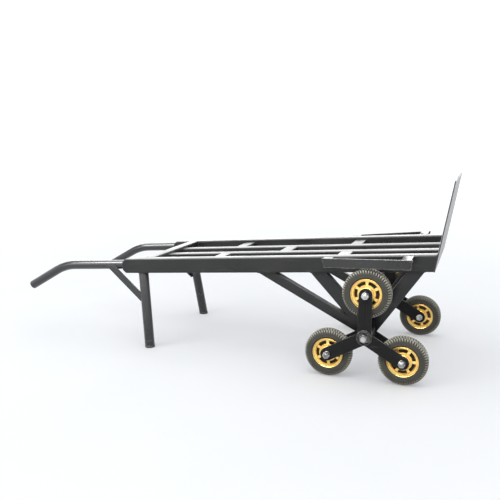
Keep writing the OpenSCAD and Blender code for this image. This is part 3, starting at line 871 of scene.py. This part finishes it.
EASY_BEND = 200
BEND_STEPS = 14
TUBE_WALL = 2.5
HANDLE_COLUMNS = 40
BORE_RADIUS = HANDLE_RADIUS - TUBE_WALL
# The open tip, from outside to inside: how far from the end, and radius
TIP_SECTION = (
    (0.6, HANDLE_RADIUS), (0, HANDLE_RADIUS - 0.6), (0, BORE_RADIUS + 0.4), (0.4, BORE_RADIUS),
    (16, BORE_RADIUS),
)


def handle_line(side):
    """Middle line of a handle tube on the bed, from inside the rail to the tip, with its directions."""
    shift = LEFT_DEEPER if side == "left" else 0
    corner = EASY_BEND * math.tan(HANDLE_BEND / 2)
    line = [(-RAIL_BACK + HANDLE_IN, HANDLE_RISE, 0.0), (-BEND_BACK + corner, HANDLE_RISE, 0.0)]
    for k in range(1, BEND_STEPS + 1):
        turn = HANDLE_BEND * k / BEND_STEPS
        x = -BEND_BACK + corner - EASY_BEND * math.sin(turn)
        z = HANDLE_RISE - EASY_BEND * (1 - math.cos(turn))
        line.append((x, z, turn))
    tip_x = -BEND_BACK - TIP_LENGTH * math.cos(HANDLE_BEND)
    tip_z = HANDLE_RISE - TIP_LENGTH * math.sin(HANDLE_BEND)
    line.append((tip_x, tip_z, HANDLE_BEND))
    return [(x + shift, z, turn) for x, z, turn in line]


def handle_ring(bm, sign, x, z, turn, radius):
    """A ring of vertices round a place on a handle's middle line."""
    ring = []
    for i in range(HANDLE_COLUMNS):
        angle = i / HANDLE_COLUMNS * math.tau
        across, up = radius * math.cos(angle), radius * math.sin(angle)
        place = on_bed(x - up * math.sin(turn), sign * RAIL_Y + across, z + up * math.cos(turn))
        ring.append(bm.verts.new(place))
    return ring


def make_handles():
    for side, sign in SIDES.items():
        bm = bmesh.new()
        line = handle_line(side)
        rings = [handle_ring(bm, sign, x, z, turn, HANDLE_RADIUS) for x, z, turn in line[:-1]]
        tip_x, tip_z, turn = line[-1]
        for inset, radius in TIP_SECTION:
            x = tip_x + math.cos(turn) * inset
            z = tip_z + math.sin(turn) * inset
            rings.append(handle_ring(bm, sign, x, z, turn, radius))
        join_rings(bm, rings)
        bm.faces.new(rings[0])
        replaced = [f"handle_tube_{side}"]
        finish_mesh(f"bent_handle_{side}", bm, HANDLE_PAINT, "frame", replaced)


# Welds on the frame and on the clusters


def run(bm, points, joint, closed=False):
    """A bead along places on the bed."""
    bead(bm, [on_bed(*p) for p in points], BEAD_RADIUS[joint] * MM, closed)


# How far beads stay back from rounded edges, and how far they sit off faces, in millimetres
OFF_EDGE, OFF_CORNER, OFF_ROUND = 1, 2, 3
BELOW_CROSSBAR_TOP, BELOW_BRACKET = 1.6, 1.2
OFF_PLATE, OFF_RAIL, OFF_LEG, OFF_HANDLE, OFF_SIDE = 0.3, 0.4, 0.6, 0.4, 0.6
TUBE_TURNS = [math.radians(15 * k) for k in range(24)]
BOSS_TURNS = [math.radians(20 + 10 * k) for k in range(15)]


def weld_spacer(bm, back, y):
    """Upright beads on both faces of a spacer's end."""
    for x in (-back - SPACER_WIDTH / 2, -back + SPACER_WIDTH / 2):
        run(bm, [(x, y, SLAT_LOW + OFF_EDGE), (x, y, SLAT_TOP - OFF_CORNER)], "slat")


def weld_bed(bm, sign):
    """The crossbar, the outer spacers, a slat and the toe plate on one side."""
    inner = sign * RAIL_INNER
    for x in (-CROSSBAR_BACK - CROSSBAR_WIDTH / 2, SLAT_START):
        run(bm, [(x, inner, CROSSBAR_LOW), (x, inner, RAIL_HEIGHT - OFF_ROUND)], "crossbar")
    half, z = CROSSBAR_WIDTH / 2 - OFF_EDGE, RAIL_HEIGHT - BELOW_CROSSBAR_TOP
    run(bm, [(-CROSSBAR_BACK - half, inner, z), (-CROSSBAR_BACK + half, inner, z)], "crossbar")
    for back in OUTER_SPACERS:
        for y in (RAIL_INNER, SLAT_FACES[1]):
            weld_spacer(bm, back, sign * y)
    top = SLAT_TOP - OFF_CORNER
    for y in SLAT_FACES:
        run(bm, [(SLAT_START, sign * y, SLAT_LOW), (SLAT_START, sign * y, top)], "slat")
        run(bm, [(toe_x(SLAT_LOW), sign * y, SLAT_LOW), (toe_x(SLAT_TOP), sign * y, top)], "slat")
    middle_y, half, z = sign * SLAT_Y, SLAT_WIDTH / 2 - OFF_CORNER, SLAT_TOP + OFF_PLATE
    for x in (SLAT_START, toe_x(SLAT_TOP) - OFF_PLATE):
        run(bm, [(x, middle_y - half, z), (x, middle_y + half, z)], "slat")
    near, far = sign * (RAIL_INNER + OFF_EDGE), sign * (RAIL_OUTER - OFF_EDGE)
    low, high = OFF_CORNER, RAIL_HEIGHT
    low_x, high_x = toe_x(low) - OFF_PLATE, toe_x(high) - OFF_PLATE
    run(bm, [(low_x, near, low), (high_x, near, high), (high_x, far, high), (low_x, far, low)], "toe")


def weld_under_rail(bm, sign, x, half_width):
    """A bead round the end of a strut or brace on the rail's underside."""
    near, far = sign * RAIL_Y - STRUT_DEPTH / 2, sign * RAIL_Y + STRUT_DEPTH / 2
    rear, front = x - half_width, x + half_width
    round_bar = [(rear, near), (front, near), (front, far), (rear, far)]
    run(bm, [(x, y, -OFF_RAIL) for x, y in round_bar], "strut", closed=True)


def weld_below_and_outside(bm, sign):
    """The struts, brace, leg, handle, guard brackets and axle boss on one side."""
    for x in (-STRUT_SPREAD, STRUT_SPREAD):
        weld_under_rail(bm, sign, AXLE_ON_BED.x + x, STRUT_WIDTH / 2 / math.cos(STRUT_LEAN))
    weld_under_rail(bm, sign, -BRACE_BACK, BRACE_WIDTH / 2 / math.sin(BRACE_ANGLE))
    rail_y = sign * RAIL_Y
    run(bm, [
        (-LEG_BACK + LEG_RADIUS * math.cos(t), rail_y + LEG_RADIUS * math.sin(t), -OFF_LEG)
        for t in TUBE_TURNS
    ], "leg", closed=True)
    radius = HANDLE_RADIUS + OFF_HANDLE
    end_top = RAIL_HEIGHT - RAIL_CORNER
    run(bm, [
        (-RAIL_BACK - OFF_RAIL, rail_y + radius * math.cos(t), HANDLE_RISE + radius * math.sin(t))
        for t in TUBE_TURNS if HANDLE_RISE + HANDLE_RADIUS * math.sin(t) < end_top
    ], "handle")
    outer, z = sign * (RAIL_OUTER + OFF_SIDE), RAIL_HEIGHT - BELOW_BRACKET
    for first, last in GUARD_BRACKETS:
        run(bm, [(first + OFF_EDGE, outer, z), (last - OFF_EDGE, outer, z)], "bracket")
    for y in (RAIL_Y - STRUT_DEPTH / 2, RAIL_Y + STRUT_DEPTH / 2):
        run(bm, [
            (AXLE_ON_BED.x + HUB_RADIUS * math.cos(t), sign * y, AXLE_ON_BED.z + HUB_RADIUS * math.sin(t))
            for t in BOSS_TURNS
        ], "boss")


def make_frame_welds():
    bm = bmesh.new()
    for sign in SIDES.values():
        weld_bed(bm, sign)
        weld_below_and_outside(bm, sign)
    for y in (-SLAT_FACES[0], SLAT_FACES[0]):
        weld_spacer(bm, MIDDLE_SPACER, y)
    finish_mesh("welds_frame", bm, WELD_BLACK, "frame")


def make_cluster_welds(side):
    """Rings of weld where the star plates meet the hub."""
    bm = bmesh.new()
    for plate in ("outer", "inner"):
        low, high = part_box(f"star_plate_{plate}_{side}")
        for face in (low.y, high.y):
            centre = Vector((axle.x, face, axle.z))
            ring = [wheel_point(centre, t, HUB_RADIUS * MM, 0) for t in TUBE_TURNS]
            bead(bm, ring, BEAD_RADIUS["hub"] * MM, closed=True)
    finish_mesh(f"welds_cluster_{side}", bm, HUB_BLACK, f"cluster_{side}")


# Modifiers and materials of the CAD nodes that stay


SAME_PLACE = 0.02 * MM
SOFT_SEGMENTS = 2
SOFT_ANGLE = math.radians(35)


def soften(piece, width):
    """Rounds a CAD node's sharp edges."""
    weld = piece.modifiers.new("weld", "WELD")
    weld.merge_threshold = SAME_PLACE
    bevel = piece.modifiers.new("bevel", "BEVEL")
    bevel.width = width
    bevel.segments = SOFT_SEGMENTS
    bevel.limit_method = "ANGLE"
    bevel.angle_limit = SOFT_ANGLE
    bevel.harden_normals = True


# Material of each CAD node, by how its name starts; the frame's black is on all others
FINISHES = {
    "handle_end_plugs": FOOT_RUBBER, "leg_tube": LEG_PAINT, "leg_feet": FOOT_RUBBER,
    "leg_brace": HANDLE_PAINT, "toe_plate": TOE_PAINT, "main_axle": STEEL, "axle_nuts": ZINC,
    "axle_washers": AGED_ZINC, "wheel_guard": GUARD_BLACK, "guard_brackets": GUARD_BLACK,
    "star_plate": STAR_BLACK, "hub_tube": HUB_BLACK, "hub_bushes": BRONZE, "wheel_bolts": ZINC,
    "wheel_nuts": ZINC, "wheel_washers": ZINC, "wheel_bearings": STEEL, "wheel_spacers": ZINC,
    "tyre": TYRE_RUBBER, "rim": GOLD,
}
# Width in millimetres of the rounding on a CAD node's edges, by how its name starts
SOFT_EDGES = {
    "leg_tube": 0.5, "leg_feet": 0.8, "leg_brace": 0.8, "toe_plate": 1.2, "axle_bosses": 0.6,
    "wheel_guard": 1.0, "guard_brackets": 0.8, "star_plate": 1.1, "hub_tube": 0.7,
    "axle_washers": 0.3, "wheel_washers": 0.3, "handle_end_plugs": 0.5,
}


def starting(table, name, otherwise):
    """The table's value for a name, looked up by how the name starts."""
    found = [value for start, value in table.items() if name.startswith(start)]
    return found[0] if found else otherwise


def dress_cad_nodes():
    for name, piece in nodes.items():
        piece.data.materials.clear()
        piece.data.materials.append(starting(FINISHES, name, FRAME_BLACK))
        width = starting(SOFT_EDGES, name, 0)
        if width:
            soften(piece, width * MM)


# Floor, light and camera

# The floor's radius and height, from its middle outwards, in metres
FLOOR_PROFILE = (
    (0.4, 0), (1.2, 0), (2.4, 0), (3.6, 0), (4.4, 0.05), (5.2, 0.25), (6.0, 0.7), (6.8, 1.5),
    (7.4, 2.6), (7.8, 4.0),
)
FLOOR_COLUMNS = 96
FLOOR_DARKER = opaque(0.80, 0.81, 0.83)
FLOOR_LIGHTER = opaque(0.84, 0.85, 0.87)
GLOW_COLOUR = opaque(0.98, 0.99, 1.0)
# Strength of the floor's glow up to the first distance and from the second one on, in metres
NEAR_GLOW, FAR_GLOW = 0.15, 0.50
GLOW_FROM, GLOW_TO = 1.0, 6.0


def make_floor():
    """A pale floor that rises gently far behind and around the trolley, paler with distance."""
    bm = bmesh.new()
    turns = [i / FLOOR_COLUMNS * math.tau for i in range(FLOOR_COLUMNS)]
    rings = [
        [bm.verts.new((radius * math.cos(t), radius * math.sin(t), height)) for t in turns]
        for radius, height in FLOOR_PROFILE
    ]
    join_rings(bm, rings)
    bm.faces.new(rings[0])
    for face in bm.faces:
        face.smooth = True
    bmesh.ops.recalc_face_normals(bm, faces=bm.faces)
    mesh = bpy.data.meshes.new("floor")
    bm.to_mesh(mesh)
    bm.free()
    material, tree, shader = new_material("floor_pale")
    place = place_of(tree)
    shade = clouds(tree, place, 1.1, 3)
    colour = mix(tree, span(tree, shade, 0.3, 0.7), FLOOR_DARKER, FLOOR_LIGHTER)
    tree.links.new(colour, shader.inputs["Base Color"])
    shader.inputs["Roughness"].default_value = 0.8
    shader.inputs["Specular IOR Level"].default_value = 0.2
    distance = add(tree, "ShaderNodeVectorMath", {0: place}, operation="LENGTH").outputs["Value"]
    shader.inputs["Emission Color"].default_value = GLOW_COLOUR
    glow = span(tree, distance, GLOW_FROM, GLOW_TO, NEAR_GLOW, FAR_GLOW)
    tree.links.new(glow, shader.inputs["Emission Strength"])
    mesh.materials.append(material)
    floor = bpy.data.objects.new("floor", mesh)
    bpy.context.scene.collection.objects.link(floor)
    return floor


WORLD_COLOUR = opaque(0.97, 0.985, 1.0)
WORLD_STRENGTH = 0.66
# Name, place, aim, size and watts of the lights that the camera may see
OPEN_LIGHTS = (
    ("overhead", (0.2, -0.2, 3.2), (0.2, 0, 0), (3.5, 3.0), 26),
    ("front_left", (-2.2, -2.6, 1.9), (0.2, 0, 0.3), (2.0, 1.6), 26),
)
# The same of lights that the camera doesn't see and that leave the floor alone
HIDDEN_LIGHTS = (
    ("low_behind", (-2.2, 4.3, 0.95), (-1.2, 0, 0.5), (8.0, 1.7), 120),
    ("high_behind", (-0.3, 1.5, 2.5), (-0.1, 0, 0.4), (5.0, 1.4), 60),
    ("high_front", (-0.5, -1.5, 2.6), (-0.2, 0, 0.3), (4.5, 1.1), 260),
)


def soft_light(name, place, aim, size, power, unlit=None):
    """An area light; where unlit is given, it leaves that object alone and the camera doesn't see it."""
    lamp = bpy.data.lights.new(name, "AREA")
    lamp.shape = "RECTANGLE"
    lamp.size, lamp.size_y = size
    lamp.energy = power
    light = bpy.data.objects.new(name, lamp)
    light.location = place
    light.rotation_euler = (Vector(aim) - Vector(place)).to_track_quat("-Z", "Y").to_euler()
    bpy.context.scene.collection.objects.link(light)
    if unlit:
        light.visible_camera = False
        receivers = bpy.data.collections.new(f"lit_by_{name}")
        receivers.objects.link(unlit)
        light.light_linking.receiver_collection = receivers
        receivers.collection_objects[0].light_linking.link_state = "EXCLUDE"


def make_light(floor):
    world = bpy.data.worlds.new("studio")
    world.use_nodes = True
    background = world.node_tree.nodes["Background"]
    background.inputs["Color"].default_value = WORLD_COLOUR
    background.inputs["Strength"].default_value = WORLD_STRENGTH
    bpy.context.scene.world = world
    for light in OPEN_LIGHTS:
        soft_light(*light)
    for light in HIDDEN_LIGHTS:
        soft_light(*light, unlit=floor)
    bpy.context.scene.view_settings.view_transform = "Standard"


# The camera's place from the floor below the axle, where it looks, and its lens in millimetres
CAMERA_OFFSET = Vector((0.3028, -2.0049, 0.7248))
CAMERA_TURN = math.radians(21.21)
CAMERA_DIP = math.radians(10.97)
CAMERA_ROLL = math.radians(-0.31)
FOCAL_LENGTH = 43.72
SENSOR = 36.0
LENS_SHIFT = (0.004, 0.010)


def make_camera():
    lens = bpy.data.cameras.new("camera")
    lens.lens = FOCAL_LENGTH
    lens.sensor_width = SENSOR
    lens.shift_x, lens.shift_y = LENS_SHIFT
    camera = bpy.data.objects.new("camera", lens)
    turn = Matrix.Rotation(CAMERA_TURN, 4, "Z")
    dip = Matrix.Rotation(math.pi / 2 - CAMERA_DIP, 4, "X")
    roll = Matrix.Rotation(CAMERA_ROLL, 4, "Z")
    place = Vector((axle.x, 0, 0)) + CAMERA_OFFSET
    camera.matrix_world = Matrix.Translation(place) @ turn @ dip @ roll
    bpy.context.scene.collection.objects.link(camera)
    bpy.context.scene.camera = camera


dress_cad_nodes()
make_bed()
make_axle_frame()
make_handles()
make_frame_welds()
for side in SIDES:
    make_cluster_welds(side)
    for wheel in WHEELS:
        make_tyre(wheel, side)
        make_rim(wheel, side)
    make_wheel_fasteners(side)
make_axle_nuts()
make_light(make_floor())
make_camera()
